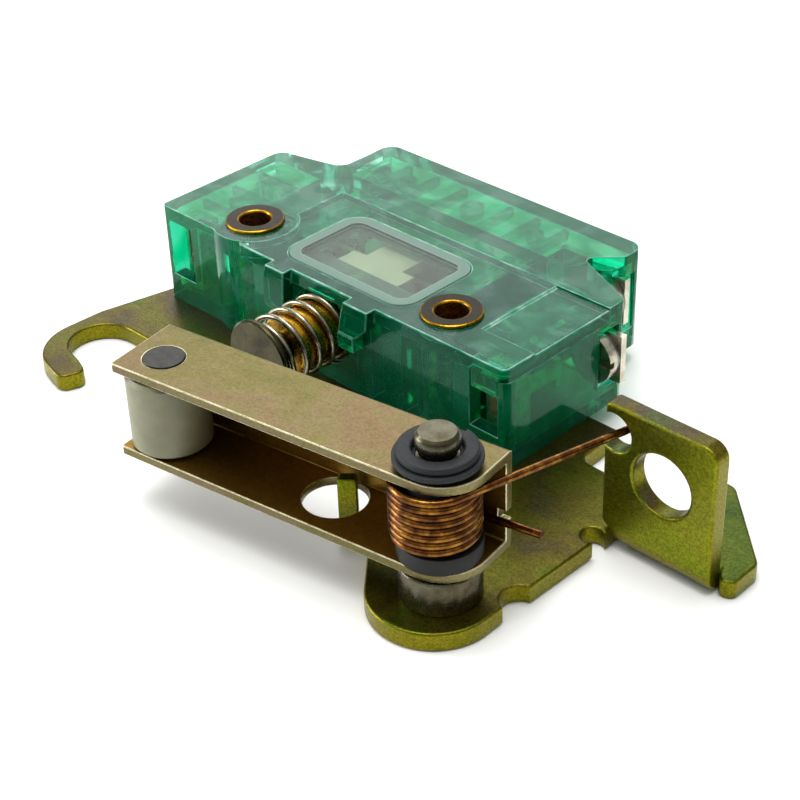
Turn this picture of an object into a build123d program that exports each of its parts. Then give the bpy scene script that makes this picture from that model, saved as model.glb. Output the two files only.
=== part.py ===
"""Micro switch on a steel plate, worked by a sprung lever with a roller.

All sizes are in millimetres. The origin is on the pivot axis, on the underside of the
plate. X runs along the plate from the hook to the tab, Y runs from the lever to the
switch, and Z is up.
"""
import math
import os

from build123d import *

os.makedirs("parts", exist_ok=True)

# Plate
plate_thickness = 2.5
lobe_centre = (-0.8, -0.3)
lobe_radius = 7.9
hook_centre = (-70.2, 6.3)
hook_radius = 7.95
hook_slot_centre = (-71.1, 7.3)
hook_slot_radius = 4.65
tab_front = 21.2
tab_left = 5.6
tab_right = 21.0
tab_top = 19.9
tab_hole = (13.75, 12.0)
tab_hole_radius = 4.0
tab_notch = (6.8, 16.1)
tab_notch_radius = 2.45
tab_bend_radius = 2.7
tab_corner_radius = 2.0
tab_inner_corner_radius = 0.8
plate_step = 7.0
finger_place = (-15.8, 1.15)
finger_half_thickness = 1.15
finger_half_width = 0.7
finger_top = 9.9
finger_reach = 3.75

# Pivot
collar_radius = 4.78
collar_top = 6.96
shaft_radius = 2.5
shaft_top = 24.16
shaft_chamfer = 0.4
rivet_radius = 3.0
groove_radius = 2.0
washer_bottom = 20.72
washer_top = 21.32
washer_radius = 5.0
ring_radius = 4.55
ring_inner_radius = 3.1
ring_thickness = 0.95
ring_gap_angle = 125.0
ring_gap_width = 4.4
ring_tooth_reach = 2.0
ring_tooth_width = 1.8
ring_tooth_angles = (95, 180, 265)

# Lever, drawn square to X and then turned about the pivot
lever_angle = 9.1
sheet = 1.2
lever_left = -43.4
lever_right = 5.3
lever_front = -4.4
lever_back = 6.4
lever_bottom = 7.06
lever_top = 19.97
lever_bend_radius = 0.45
lever_bore_radius = 2.55
lever_nose_radius = 5.4
finger_hole = (-15.5, 1.4)
finger_hole_radius = 3.9
leg_notch_left = 4.2
leg_notch_bottom = 10.9
leg_notch_top = 12.3
roller_x = -38.9
roller_pin_radius = 2.55
roller_radius = 4.9
roller_bore_radius = 2.62
roller_bottom = 8.52
roller_top = 18.51

# Lever spring and its bush
bush_flange_radius = 4.9
bush_flange_top = 10.5
bush_sleeve_radius = 3.85
bush_neck_radius = 3.4
coil_centre = (-0.27, -0.28)
coil_radius = 4.75
coil_wire = 0.47
coil_bottom = 10.98
coil_top = 18.17
coil_turns = 8
long_leg_end = (8.45, 22.6, 16.85)
short_leg_end = (9.7, 5.8, 12.0)

# Switch case
switch_x = -41.8
case_bottom = plate_thickness
case_top = 17.07
case_left = -73.7
case_right = -9.6
case_front = 21.9
case_back = 56.45
case_floor = 4.0
cover_bottom = 15.0
cover_left = -57.2
cover_front = 21.4
cover_back = 41.0
eyelet_y = 27.2
eyelet_offset = 18.3
eyelet_tube_radius = 2.7
eyelet_bore_radius = 2.15
eyelet_flange_radius = 4.05
eyelet_flange_thickness = 0.5
countersink_radius = 3.6
boss_radius = 5.9
window_left = -51.2
window_right = -28.5
window_front = 23.5
window_back = 38.0
window_round = 3.0
window_rim = 1.5
window_hole_round = 1.6
window_ledge = 16.3
pane_gap = 0.05
arm_front = 19.9
end_panel_left = -18.1
end_panel_front = 27.0
end_panel_depth = 0.3

# Plunger and contacts
plunger_z = 10.2
head_radius = 5.4
head_front = 10.6
head_back = 11.6
stem_radius = 2.0
stem_back = 31.2
plunger_bush_radius = 4.05
plunger_bush_bore = 2.05
plunger_bush_front = 15.0
plunger_bush_back = 29.4
plunger_spring_radius = 4.55
plunger_spring_wire = 0.38
plunger_spring_turns = 4.5
spring_seat = 22.8
spring_recess_radius = 5.3
bridge_front = 35.6
bridge_back = 36.6
bridge_half_length = 15.2
contact_offset = 13.3
contact_radius = 1.5
contact_spring_turns = 2
contact_spring_radius = 1.6
contact_spring_wire = 0.22
front_strip = 33.2
rear_strip = 40.2
strip_thickness = 1.0
strip_bottom = 8.2
strip_top = 12.2
screw_z = 9.8
screw_head_radius = 3.65
screw_shank_radius = 1.5
right_screw_x = -11.6
rear_right_screw_x = -19.9
rear_left_screw_x = -62.2
front_clamp_face = 41.5
rear_clamp_face = 53.0


def rounded_outline(corners):
    """Closed line through (x, y, corner radius) points."""
    FilletPolyline(*[corner[:2] for corner in corners], radius=[corner[2] for corner in corners], close=True)


def prism(corners, bottom, top, mode=Mode.ADD):
    """Plan outline raised from bottom to top."""
    with BuildSketch(Plane.XY.offset(bottom)) as plan:
        with BuildLine():
            rounded_outline(corners)
        make_face()
    extrude(plan.sketch, amount=top - bottom, mode=mode)


def front_prism(corners, front, back, mode=Mode.ADD):
    """Front view outline of (x, z, radius) points carried from front to back."""
    with BuildSketch(Plane.XZ.offset(-back)) as view:
        with BuildLine():
            rounded_outline(corners)
        make_face()
    extrude(view.sketch, amount=back - front, mode=mode)


def side_prism(corners, left, right, mode=Mode.ADD):
    """End view outline of (y, z, radius) points carried from left to right."""
    with BuildSketch(Plane.YZ.offset(left)) as section:
        with BuildLine():
            rounded_outline(corners)
        make_face()
    extrude(section.sketch, amount=right - left, mode=mode)


def block(x_range, y_range, z_range, mode=Mode.ADD):
    """Plain block between two limits along each axis."""
    sizes = [high - low for low, high in (x_range, y_range, z_range)]
    with Locations((x_range[0], y_range[0], z_range[0])):
        Box(*sizes, align=(Align.MIN, Align.MIN, Align.MIN), mode=mode)


def rod_z(place, radius, bottom, top, mode=Mode.ADD):
    """Upright cylinder at an (x, y) place."""
    with Locations((place[0], place[1], (bottom + top) / 2)):
        Cylinder(radius, top - bottom, mode=mode)


def rod_y(place, radius, front, back, mode=Mode.ADD):
    """Cylinder lying along Y at an (x, z) place."""
    with Locations(Location((place[0], (front + back) / 2, place[1]), (90, 0, 0))):
        Cylinder(radius, back - front, mode=mode)


def mirrored(x):
    """Same place on the other end of the switch."""
    return 2 * switch_x - x


def both_ends(low, high):
    """X range on the right half of the switch and its mirror image on the left half."""
    return ((low, high), (mirrored(high), mirrored(low)))


def window_outline(inset, corner_radius):
    """Corners of the window's outline, moved in by the inset."""
    low_x, high_x = window_left + inset, window_right - inset
    low_y, high_y = window_front + inset, window_back - inset
    corners = ((low_x, low_y), (high_x, low_y), (high_x, high_y), (low_x, high_y))
    return [(x, y, corner_radius) for x, y in corners]


def tangent_angle(centre, radius, point, side):
    """Direction from the centre to where a line through the point touches the circle."""
    across = point[0] - centre[0]
    along = point[1] - centre[1]
    return math.degrees(math.atan2(along, across) + side * math.acos(radius / math.hypot(across, along)))


def save(part, name):
    """Label a piece and write it out."""
    part.label = name
    export_step(part, "parts/" + name + ".step")


axis_place = (0, 0)
plunger_place = (switch_x, plunger_z)
eyelet_left = (switch_x - eyelet_offset, eyelet_y)
eyelet_right = (switch_x + eyelet_offset, eyelet_y)
left_screw_x = mirrored(right_screw_x)

# Base plate: flat plan, open hook, front lobe, upright tab and stop finger
plate_plan = [
    (-6.72, -5.54, 0),
    (plate_step, -0.3, 0),
    (plate_step, tab_front, 0),
    (plate_step, tab_front + tab_bend_radius, 0),
    (tab_right, tab_front + tab_bend_radius, 0),
    (tab_right, tab_front, 0),
    (23.5, tab_front, 1.0),
    (23.1, 27.8, 1.5),
    (12.9, 38.0, 1.5),
    (-72.1, 38.0, 2.0),
    (-75.6, 22.1, 0),
    (-77.9, 12.2, 0),
    (-78.0, 8.0, 0),
    (hook_centre[0], hook_centre[1], 0),
    (-66.0, 13.0, 0),
    (-23.1, 13.0, 1.5),
]
tab_section = [
    (tab_front, 0, tab_bend_radius),
    (tab_front, tab_top, 0),
    (tab_front + plate_thickness, tab_top, 0),
    (tab_front + plate_thickness, plate_thickness, 0.4),
    (tab_front + 2 * plate_thickness, plate_thickness, 0),
    (tab_front + 2 * plate_thickness, 0, 0),
]
hook_tip = [(-70.2, -1.65, 0), (-67.9, -2.05, 1.3), (-66.7, 1.9, 1.3), (-70.2, 3.2, 0)]
bend_reliefs = [((7.6, 4.8), 2.4), ((6.1, 19.15), 1.45)]
tab_foot_relief = (5.5, 1.6)
tab_foot_relief_radius = 2.1
slant = Vector(0.663, -0.749)
outward = Vector(-0.749, -0.663)
finger_foot = Vector(*finger_place) - outward * finger_reach
finger_plane = Plane(
    origin=(finger_foot.X, finger_foot.Y, 0),
    x_dir=(outward.X, outward.Y, 0),
    z_dir=(-slant.X, -slant.Y, 0),
)
finger_inner = finger_reach - finger_half_thickness
finger_outer = finger_reach + finger_half_thickness
finger_profile = [
    (0, 0, 0),
    (finger_outer, 0, plate_thickness),
    (finger_outer, finger_top, 0.5),
    (finger_inner, finger_top, 0.5),
    (finger_inner, plate_thickness, 0.6),
    (0, plate_thickness, 0),
]
with BuildPart() as base_plate:
    prism(plate_plan, 0, plate_thickness)
    rod_z(lobe_centre, lobe_radius, 0, plate_thickness)
    rod_z(hook_centre, hook_radius, 0, plate_thickness)
    prism(hook_tip, 0, plate_thickness)
    rod_z(hook_slot_centre, hook_slot_radius, 0, plate_thickness, Mode.SUBTRACT)
    block(
        (hook_slot_centre[0], -60.0),
        (hook_slot_centre[1] - hook_slot_radius, hook_slot_centre[1] + hook_slot_radius),
        (0, plate_thickness),
        Mode.SUBTRACT,
    )
    side_prism(tab_section, tab_left, tab_right)
    top_corners = base_plate.edges().filter_by(Axis.Y).group_by(Axis.Z)[-1].sort_by(Axis.X)
    fillet(top_corners[-1], tab_corner_radius)
    top_corners = base_plate.edges().filter_by(Axis.Y).group_by(Axis.Z)[-1].sort_by(Axis.X)
    fillet(top_corners[0], tab_inner_corner_radius)
    for place, radius in bend_reliefs:
        rod_z(place, radius, 0, plate_thickness, Mode.SUBTRACT)
    rod_y(tab_foot_relief, tab_foot_relief_radius, tab_front, tab_front + plate_thickness, Mode.SUBTRACT)
    rod_y(tab_hole, tab_hole_radius, tab_front, tab_front + plate_thickness, Mode.SUBTRACT)
    rod_y(tab_notch, tab_notch_radius, tab_front, tab_front + plate_thickness, Mode.SUBTRACT)
    # stop finger, bent up from the slanting edge
    with BuildSketch(finger_plane) as finger_side:
        with BuildLine():
            rounded_outline(finger_profile)
        make_face()
    extrude(finger_side.sketch, amount=finger_half_width, both=True)
    # holes for the post and for the two tubular rivets that hold the switch
    rod_z(axis_place, rivet_radius, 0, plate_thickness, Mode.SUBTRACT)
    for place in (eyelet_left, eyelet_right):
        with Locations(Location((place[0], place[1], 0), (180, 0, 0))):
            CounterSinkHole(eyelet_tube_radius, countersink_radius, plate_thickness, counter_sink_angle=90)
save(base_plate.part, "base_plate")

# Pivot post: rivet tail, thick collar, slim shaft with a ring groove
post_profile = [
    (0, 0),
    (rivet_radius, 0),
    (rivet_radius, plate_thickness),
    (collar_radius, plate_thickness),
    (collar_radius, collar_top),
    (shaft_radius, collar_top),
    (shaft_radius, washer_top),
    (groove_radius, washer_top),
    (groove_radius, washer_top + ring_thickness),
    (shaft_radius, washer_top + ring_thickness),
    (shaft_radius, shaft_top - shaft_chamfer),
    (shaft_radius - shaft_chamfer, shaft_top),
    (0, shaft_top),
]
with BuildPart() as pivot_post:
    with BuildSketch(Plane.XZ):
        with BuildLine():
            Polyline(*post_profile, close=True)
        make_face()
    revolve(axis=Axis.Z)
save(pivot_post.part, "pivot_post")

with BuildPart() as pivot_washer:
    rod_z(axis_place, washer_radius, washer_bottom, washer_top)
    fillet(pivot_washer.edges().filter_by(GeomType.CIRCLE), 0.12)
    rod_z(axis_place, shaft_radius, washer_bottom, washer_top, Mode.SUBTRACT)
save(pivot_washer.part, "pivot_washer")

# Retaining ring: open ring with three inner teeth in the shaft's groove
ring_middle = washer_top + ring_thickness / 2
with BuildPart() as retaining_ring:
    rod_z(axis_place, ring_radius, washer_top, washer_top + ring_thickness)
    fillet(retaining_ring.edges().filter_by(GeomType.CIRCLE), 0.25)
    rod_z(axis_place, ring_inner_radius, washer_top, washer_top + ring_thickness, Mode.SUBTRACT)
    for turn in ring_tooth_angles:
        with Locations(Location((0, 0, ring_middle), (0, 0, ring_gap_angle + turn))):
            with Locations((ring_inner_radius - 0.3, 0, 0)):
                Box(ring_tooth_reach, ring_tooth_width, ring_thickness)
    rod_z(axis_place, groove_radius, washer_top, washer_top + ring_thickness, Mode.SUBTRACT)
    with Locations(Location((0, 0, ring_middle), (0, 0, ring_gap_angle))):
        with Locations((ring_radius - 0.5, 0, 0)):
            Box(4.0, ring_gap_width, ring_thickness, mode=Mode.SUBTRACT)
save(retaining_ring.part, "retaining_ring")

# Bush inside the coil: flange below, sleeve, and a neck through the lever up to the washer
with BuildPart() as spring_bush:
    rod_z(axis_place, bush_flange_radius, lever_bottom + sheet + 0.1, bush_flange_top)
    rod_z(axis_place, bush_sleeve_radius, bush_flange_top, lever_top - sheet - 0.1)
    rod_z(axis_place, bush_neck_radius, lever_top - sheet - 0.1, washer_bottom)
    rod_z(axis_place, shaft_radius, lever_bottom, washer_bottom, Mode.SUBTRACT)
save(spring_bush.part, "spring_bush")

# Torsion spring: close coil, long leg to the tab's notch, short leg on the lever's web
coil_start = tangent_angle(coil_centre, coil_radius, short_leg_end, 1)
coil_end = tangent_angle(coil_centre, coil_radius, long_leg_end, -1)
turns = coil_turns + (coil_end - coil_start) / 360
coil_rise = coil_top - coil_bottom
coil_axis = Axis((*coil_centre, coil_bottom), (0, 0, 1))
with BuildPart() as torsion_spring:
    with BuildLine():
        coil = Helix(coil_rise / turns, coil_rise, coil_radius, center=coil_axis.position, mode=Mode.PRIVATE)
        coil = coil.rotate(coil_axis, coil_start)
        short_leg = Line(short_leg_end, coil @ 0)
        long_leg = Line(coil @ 1, long_leg_end)
    with BuildSketch(Plane(origin=short_leg @ 0, z_dir=short_leg % 0)) as wire_section:
        Circle(coil_wire)
    spring_path = Wire([short_leg.edge(), coil.edge(), long_leg.edge()])
    sweep(wire_section.sketch, path=spring_path, is_frenet=True, transition=Transition.TRANSFORMED)
save(torsion_spring.part, "torsion_spring")

# Lever: channel of bent sheet, open to the front
channel_section = [
    (lever_front, lever_bottom, 0),
    (lever_back, lever_bottom, lever_bend_radius),
    (lever_back, lever_top, lever_bend_radius),
    (lever_front, lever_top, 0),
    (lever_front, lever_top - sheet, 0),
    (lever_back - sheet, lever_top - sheet, 0.2),
    (lever_back - sheet, lever_bottom + sheet, 0.2),
    (lever_front, lever_bottom + sheet, 0),
]
lever_plan = [
    (lever_left, lever_front, 0.4),
    (lever_right, lever_front, lever_nose_radius),
    (lever_right, lever_back, 0.2),
    (lever_left, lever_back, 0.2),
]
with BuildPart() as lever:
    side_prism(channel_section, lever_left, lever_right)
    prism(lever_plan, lever_bottom, lever_top, Mode.INTERSECT)
    rod_z(axis_place, lever_bore_radius, lever_bottom, lever_bottom + sheet, Mode.SUBTRACT)
    rod_z(axis_place, bush_neck_radius + 0.05, lever_top - sheet, lever_top, Mode.SUBTRACT)
    rod_z((roller_x, 0), roller_pin_radius, lever_bottom, lever_top, Mode.SUBTRACT)
    rod_z(finger_hole, finger_hole_radius, lever_bottom, lever_bottom + sheet, Mode.SUBTRACT)
    # spring leg notch in the end of the web
    block(
        (leg_notch_left, lever_right),
        (lever_back - sheet, lever_back),
        (leg_notch_bottom, leg_notch_top),
        Mode.SUBTRACT,
    )
save(lever.part.rotate(Axis.Z, lever_angle), "lever")

with BuildPart() as roller_pin:
    rod_z((roller_x, 0), roller_pin_radius, lever_bottom - 0.12, lever_top + 0.12)
    chamfer(roller_pin.edges().filter_by(GeomType.CIRCLE), 0.1)
save(roller_pin.part.rotate(Axis.Z, lever_angle), "roller_pin")

with BuildPart() as roller:
    rod_z((roller_x, 0), roller_radius, roller_bottom, roller_top)
    chamfer(roller.edges().filter_by(GeomType.CIRCLE), 0.45)
    rod_z((roller_x, 0), roller_bore_radius, roller_bottom, roller_top, Mode.SUBTRACT)
save(roller.part.rotate(Axis.Z, lever_angle), "roller")

# Switch case, with chambers for the contacts and for the terminals at both ends
case_plan = [
    (case_left, case_front, 0.8),
    (case_right, case_front, 0.8),
    (case_right, 43.9, 1.2),
    (-11.3, 44.7, 0),
    (-20.2, 48.7, 0.8),
    (-16.3, 52.6, 0.8),
    (-16.3, case_back, 2.0),
    (-63.1, case_back, 2.0),
    (-63.1, 46.6, 2.2),
    (-66.5, 45.75, 0),
    (case_left, 44.2, 1.8),
]
chamber = (case_floor, cover_bottom)
strip_height = (strip_bottom, strip_top)
entry_bottom = 6.6
screw_slot = (5.6, 14.0)
with BuildPart() as housing_base:
    prism(case_plan, case_bottom, case_top)
    block((cover_left, case_right), (case_front, cover_back), (cover_bottom, case_top), Mode.SUBTRACT)
    rod_z(eyelet_left, boss_radius, case_bottom, case_top)
    # contact chamber and rear chamber
    block((switch_x - 15.7, switch_x + 15.7), (29.5, 44.5), chamber, Mode.SUBTRACT)
    block((-61.5, -25.0), (47.0, 54.8), chamber, Mode.SUBTRACT)
    block((-25.1, -17.6), (50.4, 54.8), (case_floor, cover_bottom), Mode.SUBTRACT)
    # end chambers, open to the front for the wires and at the side for the screws
    for ends, front, back, heights in (
        (both_ends(-19.6, -11.0), 24.0, 43.0, chamber),
        (both_ends(-15.8, -11.2), case_front, 24.5, (entry_bottom, cover_bottom)),
        (both_ends(-11.5, case_right + 0.1), 39.2, 43.0, screw_slot),
    ):
        for x_range in ends:
            block(x_range, (front, back), heights, Mode.SUBTRACT)
    # moulded pockets behind the front wall, each side of the plunger
    for x_range in both_ends(-36.0, -33.4) + both_ends(-31.4, -27.9):
        block(x_range, (23.1, 28.3), (case_bottom, 14.2), Mode.SUBTRACT)
    # plunger bush bore and the seat of its spring
    rod_y(plunger_place, plunger_bush_radius, case_front, 29.5, Mode.SUBTRACT)
    rod_y(plunger_place, spring_recess_radius, case_front, spring_seat, Mode.SUBTRACT)
    # slots for the contact strips and recesses for the rear screws
    for x_range in both_ends(-26.2, -19.5):
        block(x_range, (front_strip, front_strip + strip_thickness), strip_height, Mode.SUBTRACT)
    for x_range in both_ends(-27.6, -26.6):
        block(x_range, (44.0, 47.5), strip_height, Mode.SUBTRACT)
    for screw_x in (rear_right_screw_x, rear_left_screw_x):
        rod_y((screw_x, screw_z), screw_head_radius + 0.2, 49.0, rear_clamp_face, Mode.SUBTRACT)
    block((-66.0, -60.4), (51.0, 54.6), screw_slot, Mode.SUBTRACT)
    block((-18.8, -16.3), (50.8, 54.6), screw_slot, Mode.SUBTRACT)
    for place in (eyelet_left, eyelet_right):
        rod_z(place, eyelet_tube_radius, case_bottom, case_top, Mode.SUBTRACT)
save(housing_base.part, "housing_base")

# Cover: lid with a front lip, two faceted clip arms, a window seat and a sunk end panel
cover_plan = [
    (cover_left, cover_front, 0.6),
    (case_right, cover_front, 1.0),
    (case_right, cover_back, 0),
    (cover_left, cover_back, 0),
]
right_arm = [
    (-36.7, 12.4, 0),
    (-33.6, 12.4, 0),
    (-31.6, 14.2, 0.4),
    (-31.2, case_top, 0),
    (-35.6, case_top, 0),
    (-36.2, 14.8, 0.4),
]
left_arm = [
    (-50.9, 10.6, 0.8),
    (-47.2, 10.6, 0.6),
    (-46.6, case_top, 0),
    (-50.2, case_top, 0),
    (-50.9, 14.5, 1.0),
]
with BuildPart() as housing_cover:
    prism(cover_plan, cover_bottom, case_top)
    rod_z(eyelet_left, boss_radius, cover_bottom, case_top, Mode.SUBTRACT)
    front_prism(right_arm, arm_front, case_front)
    block((-36.7, -33.8), (19.7, 21.6), (10.2, 12.4))
    front_prism(left_arm, arm_front, case_front)
    # tongue that closes the top of the right wire entry
    block((-15.7, -11.5), (22.0, 23.6), (12.2, cover_bottom))
    prism(window_outline(0, window_round), window_ledge, case_top, Mode.SUBTRACT)
    prism(window_outline(window_rim, window_hole_round), cover_bottom, case_top, Mode.SUBTRACT)
    rod_z(eyelet_right, eyelet_tube_radius, cover_bottom, case_top, Mode.SUBTRACT)
    block(
        (end_panel_left, case_right),
        (end_panel_front, cover_back),
        (case_top - end_panel_depth, case_top),
        Mode.SUBTRACT,
    )
save(housing_cover.part, "housing_cover")

with BuildPart() as cover_window:
    prism(window_outline(pane_gap, window_round), window_ledge, case_top + pane_gap)
save(cover_window.part, "cover_window")

# Tubular rivets: rolled flange on the case, tube to the countersink under the plate
flange_top = case_top + eyelet_flange_thickness
eyelet_profile = [
    (eyelet_bore_radius, 0.05, 0),
    (3.4, 0.05, 0),
    (eyelet_tube_radius, 0.8, 0),
    (eyelet_tube_radius, case_top, 0),
    (eyelet_flange_radius, case_top, 0.1),
    (eyelet_flange_radius, flange_top, 0.25),
    (eyelet_bore_radius, flange_top, 0.35),
]
for place, eyelet_name in ((eyelet_left, "eyelet_left"), (eyelet_right, "eyelet_right")):
    with BuildPart() as eyelet:
        with BuildSketch(Plane.XZ) as eyelet_section:
            with BuildLine():
                rounded_outline(eyelet_profile)
            make_face()
        revolve(eyelet_section.sketch, axis=Axis.Z)
    save(eyelet.part.translate((place[0], place[1], 0)), eyelet_name)

# Plunger: flat head on a stem that slides in a brass bush
with BuildPart() as plunger:
    rod_y(plunger_place, head_radius, head_front, head_back)
    chamfer(plunger.edges().filter_by(GeomType.CIRCLE), 0.25)
    rod_y(plunger_place, stem_radius, head_back, stem_back)
save(plunger.part, "plunger")

with BuildPart() as plunger_bush:
    rod_y(plunger_place, plunger_bush_radius, plunger_bush_front, plunger_bush_back)
    chamfer(plunger_bush.edges().filter_by(GeomType.CIRCLE).sort_by(Axis.Y)[:1], 0.4)
    rod_y(plunger_place, plunger_bush_bore, plunger_bush_front, plunger_bush_back, Mode.SUBTRACT)
save(plunger_bush.part, "plunger_bush")


def coil_spring(front, back, spring_turns, radius, wire_radius):
    """Round wire coiled about the plunger's axis between two seats."""
    first = front + wire_radius + 0.02
    rise = back - front - 2 * wire_radius - 0.04
    with BuildLine() as turns_line:
        Helix(rise / spring_turns, rise, radius, center=(switch_x, first, plunger_z), direction=(0, 1, 0))
    with BuildSketch(Plane(origin=turns_line.line @ 0, z_dir=turns_line.line % 0)) as wire_section:
        Circle(wire_radius)
    sweep(wire_section.sketch, path=turns_line.line, is_frenet=True)


with BuildPart() as plunger_spring:
    coil_spring(head_back, spring_seat, plunger_spring_turns, plunger_spring_radius, plunger_spring_wire)
save(plunger_spring.part, "plunger_spring")

# Contact carrier: frame on the stem, holding the bridge between two small springs
carrier_front = 30.0
carrier_bar_back = 33.5
carrier_end_front = 39.2
carrier_back = 42.3
carrier_bottom = 5.6
carrier_top = 14.3
carrier_height = (carrier_bottom, carrier_top)
carrier_web = (-45.2, -38.4)
carrier_gap = (carrier_bar_back, carrier_end_front)
with BuildPart() as contact_carrier:
    block((-47.4, -36.2), (carrier_front, carrier_bar_back), carrier_height)
    block(carrier_web, carrier_gap, (carrier_bottom, 7.6))
    block(carrier_web, carrier_gap, (12.8, carrier_top))
    block((-46.2, -37.4), (carrier_end_front, carrier_back), carrier_height)
    rod_y(plunger_place, stem_radius, carrier_front, stem_back, Mode.SUBTRACT)
save(contact_carrier.part, "contact_carrier")

with BuildPart() as contact_bridge:
    block((switch_x - bridge_half_length, switch_x + bridge_half_length), (bridge_front, bridge_back), (8.4, 12.0))
    chamfer(contact_bridge.edges().filter_by(Axis.Y), 0.6)
save(contact_bridge.part, "contact_bridge")

contact_places = [(switch_x - contact_offset, plunger_z), (switch_x + contact_offset, plunger_z)]
with BuildPart() as moving_contacts:
    for place in contact_places:
        rod_y(place, contact_radius, bridge_front - 0.5, bridge_front)
        rod_y(place, contact_radius, bridge_back, bridge_back + 0.5)
save(moving_contacts.part, "moving_contacts")

with BuildPart() as contact_springs:
    for front, back in ((carrier_bar_back, bridge_front), (bridge_back, carrier_end_front)):
        coil_spring(front, back, contact_spring_turns, contact_spring_radius, contact_spring_wire)
save(contact_springs.part, "contact_springs")

# Terminals: strip from each fixed contact to its clamping screw, with a wire guide in front
clamp_plate = (6.4, 13.2)
guide_wall = 0.6
guide_left = -15.4
guide_right = -11.2
guide_front = 24.6
guide_back = 27.2
guide_bottom = 4.6
guide_floor = 7.4
guide_top = 13.6
for terminal_name, side in (("front_terminal_right", 1), ("front_terminal_left", -1)):
    with BuildPart() as terminal:
        block((-30.1, -12.3), (front_strip, front_strip + strip_thickness), strip_height)
        block((-16.6, -15.6), (front_strip, front_clamp_face + 1.0), strip_height)
        block((-16.6, -8.0), (front_clamp_face, front_clamp_face + 1.0), clamp_plate)
        block((-13.4, -12.3), (26.0, front_strip), (9.6, 11.2))
        block((guide_left, guide_right), (guide_front, guide_back), (guide_bottom, guide_top))
        block(
            (guide_left + guide_wall, guide_right - guide_wall),
            (guide_front, guide_back - guide_wall),
            (guide_floor, guide_top - guide_wall),
            Mode.SUBTRACT,
        )
        rod_y((right_screw_x, screw_z), screw_shank_radius, front_clamp_face, front_clamp_face + 1.0, Mode.SUBTRACT)
    if side > 0:
        save(terminal.part, terminal_name)
    else:
        save(terminal.part.mirror(Plane.YZ.offset(switch_x)), terminal_name)

rear_terminals = (
    ("rear_terminal_right", (-30.1, -26.6), (-27.6, -26.6), (-27.6, -16.6), rear_right_screw_x),
    ("rear_terminal_left", (-57.0, -53.5), (-57.0, -56.0), (-65.0, -56.0), rear_left_screw_x),
)
for terminal_name, strip_x, leg_x, plate_x, screw_x in rear_terminals:
    with BuildPart() as terminal:
        block(strip_x, (rear_strip, rear_strip + strip_thickness), strip_height)
        block(leg_x, (rear_strip, rear_clamp_face + 1.0), strip_height)
        block(plate_x, (rear_clamp_face, rear_clamp_face + 1.0), clamp_plate)
        rod_y((screw_x, screw_z), screw_shank_radius, rear_clamp_face, rear_clamp_face + 1.0, Mode.SUBTRACT)
    save(terminal.part, terminal_name)

with BuildPart() as fixed_contacts:
    for place in contact_places:
        rod_y(place, contact_radius, front_strip + strip_thickness, front_strip + strip_thickness + 0.8)
        rod_y(place, contact_radius, rear_strip - 0.8, rear_strip)
save(fixed_contacts.part, "fixed_contacts")

washer_thickness = 0.6
head_thickness = 1.45
slot_width = 0.8
screw_places = (
    (left_screw_x, front_clamp_face),
    (right_screw_x, front_clamp_face),
    (rear_left_screw_x, rear_clamp_face),
    (rear_right_screw_x, rear_clamp_face),
)
with BuildPart() as terminal_screws:
    for x, clamp_face in screw_places:
        head_seat = clamp_face - washer_thickness
        slot_back = head_seat - head_thickness + 0.7
        rod_y((x, screw_z), screw_head_radius, head_seat - head_thickness, head_seat)
        rod_y((x, screw_z), screw_shank_radius, head_seat, clamp_face + 1.3)
        block(
            (x - screw_head_radius, x + screw_head_radius),
            (head_seat - head_thickness, slot_back),
            (screw_z - slot_width / 2, screw_z + slot_width / 2),
            Mode.SUBTRACT,
        )
save(terminal_screws.part, "terminal_screws")

with BuildPart() as clamp_washers:
    for x, clamp_face in screw_places:
        rod_y((x, screw_z), screw_head_radius - 0.1, clamp_face - washer_thickness, clamp_face)
        rod_y((x, screw_z), screw_shank_radius, clamp_face - washer_thickness, clamp_face, Mode.SUBTRACT)
save(clamp_washers.part, "clamp_washers")
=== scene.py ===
import math
import bmesh
import bpy
from mathutils import Matrix, Vector


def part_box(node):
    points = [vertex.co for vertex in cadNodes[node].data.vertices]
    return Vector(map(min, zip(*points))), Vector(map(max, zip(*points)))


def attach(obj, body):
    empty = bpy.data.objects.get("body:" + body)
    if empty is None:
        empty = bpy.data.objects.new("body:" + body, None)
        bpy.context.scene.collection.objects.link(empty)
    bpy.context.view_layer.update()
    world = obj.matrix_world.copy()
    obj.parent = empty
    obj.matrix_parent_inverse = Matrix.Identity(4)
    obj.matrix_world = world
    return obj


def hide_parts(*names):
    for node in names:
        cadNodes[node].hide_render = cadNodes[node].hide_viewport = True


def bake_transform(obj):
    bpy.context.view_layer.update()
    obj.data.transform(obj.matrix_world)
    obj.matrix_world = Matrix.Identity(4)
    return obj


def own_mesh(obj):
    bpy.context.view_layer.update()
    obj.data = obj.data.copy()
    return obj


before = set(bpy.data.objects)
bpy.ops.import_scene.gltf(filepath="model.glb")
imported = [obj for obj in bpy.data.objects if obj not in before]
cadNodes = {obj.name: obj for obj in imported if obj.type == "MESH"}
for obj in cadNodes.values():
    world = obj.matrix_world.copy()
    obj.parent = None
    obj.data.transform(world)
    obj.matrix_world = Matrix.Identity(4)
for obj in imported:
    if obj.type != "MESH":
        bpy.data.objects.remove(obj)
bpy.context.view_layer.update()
print("frame loaded:", len(cadNodes), "nodes")

millimetre = 0.001
smoothBelow = 38  # degrees between faces that are shaded as one curve


def linearColour(hexCode, alpha=1.0):
    # sRGB hex to the linear values that the shaders use
    channels = []
    for start in (0, 2, 4):
        value = int(hexCode[start:start + 2], 16) / 255
        channels.append(value / 12.92 if value <= 0.04045 else ((value + 0.055) / 1.055) ** 2.4)
    return (*channels, alpha)


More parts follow.
